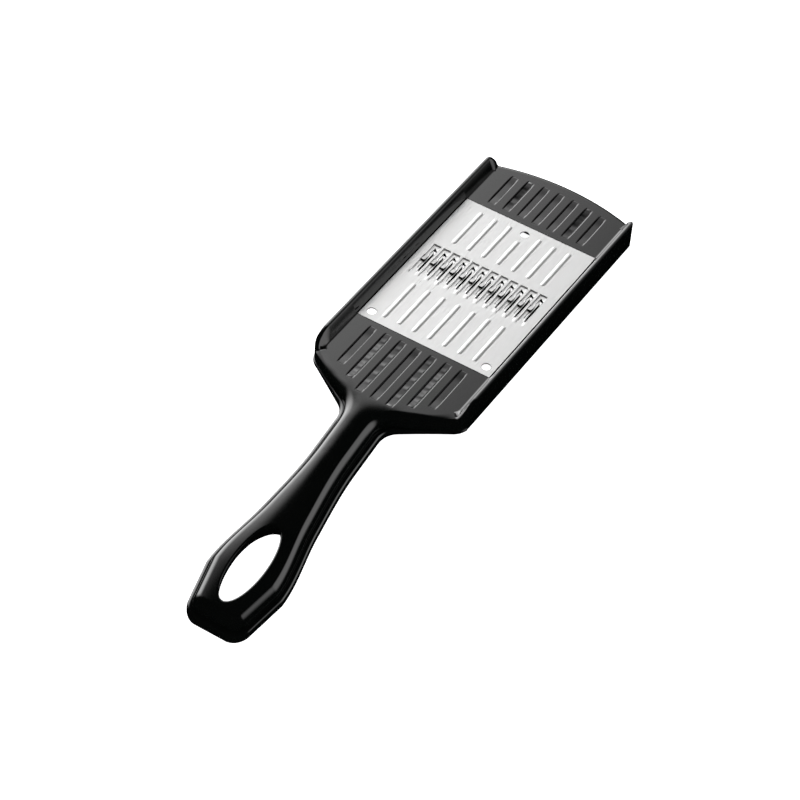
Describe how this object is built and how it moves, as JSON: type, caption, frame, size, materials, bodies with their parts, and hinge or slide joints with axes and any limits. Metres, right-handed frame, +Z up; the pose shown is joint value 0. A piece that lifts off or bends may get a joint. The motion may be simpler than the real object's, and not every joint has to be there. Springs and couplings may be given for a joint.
{
  "type": "julienne slicer",
  "caption": "Hand-held julienne slicer: stamped cutting plate set between two side rails in a moulded body with a drooping handle and an oval hanging hole.",
  "frame": {"origin": "on the surface that the slicer lies on, below the middle of its bounding box", "axes": "+Y from the handle to the far end of the head, +X to the right, +Z up; the deck leans by 5.9 degrees about X"},
  "size_m": [0.077, 0.2836, 0.0278],
  "materials": {
    "body": "glossy black moulded plastic",
    "shell": "glossy black moulded plastic",
    "plate": "satin stainless steel sheet"
  },
  "bodies": {
    "root": {"body": "body", "handle_shell": "shell", "julienne_plate": "plate"}
  },
  "joints": []
}
